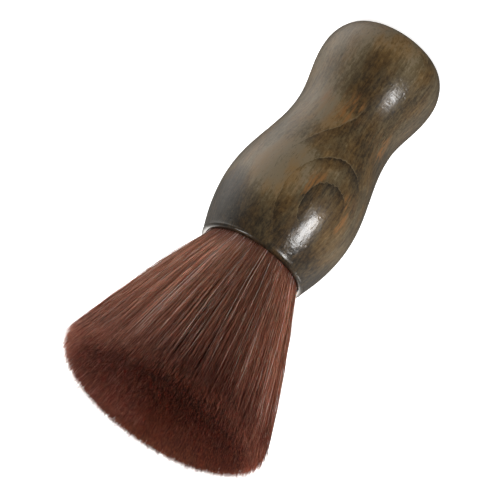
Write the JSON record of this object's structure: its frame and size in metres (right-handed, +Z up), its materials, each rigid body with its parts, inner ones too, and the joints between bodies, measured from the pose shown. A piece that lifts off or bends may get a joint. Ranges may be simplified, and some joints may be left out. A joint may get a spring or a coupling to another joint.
{
  "type": "neck duster brush",
  "caption": "Barber's neck duster: a lacquered hourglass-shaped turned wooden handle with a thick, round, flared and domed head of soft reddish-brown fibres that bends and springs back.",
  "frame": {"origin": "centre of the flat foot at the end of the handle, on the surface the brush stands on", "axes": "+Z up the brush's axis, from the handle's foot to the bristle tips"},
  "size_m": [0.0716, 0.0716, 0.1517],
  "materials": {
    "lacquered_wood": "dark walnut-brown stain under a semi-gloss lacquer",
    "glue": "set epoxy, hidden in the socket",
    "resin": "cast resin, hidden in the socket",
    "thread": "waxed binding thread, hidden in the socket",
    "fibre": "fine reddish-brown synthetic fibre with a soft sheen"
  },
  "bodies": {
    "handle": {"handle": "lacquered_wood", "socket_glue": "glue", "resin_plug": "resin", "binding_thread": "thread", "bristle_roots": "fibre"},
    "bristle_head": {"tuft_centre": "fibre", "tuft_inner_1": "fibre", "tuft_inner_2": "fibre", "tuft_inner_3": "fibre", "tuft_inner_4": "fibre", "tuft_inner_5": "fibre", "tuft_inner_6": "fibre", "tuft_outer_1": "fibre", "tuft_outer_2": "fibre", "tuft_outer_3": "fibre", "tuft_outer_4": "fibre", "tuft_outer_5": "fibre", "tuft_outer_6": "fibre", "tuft_outer_7": "fibre", "tuft_outer_8": "fibre", "tuft_outer_9": "fibre", "tuft_outer_10": "fibre", "tuft_outer_11": "fibre", "tuft_outer_12": "fibre"}
  },
  "joints": [
    {"name": "bristle_bend", "type": "hinge", "parent": "handle", "child": "bristle_head", "pos_m": [0, 0, 0.104], "axis": [0, 1, 0], "range_deg": [-25, 25], "stiffness_Nm_per_rad": 0.25}
  ]
}
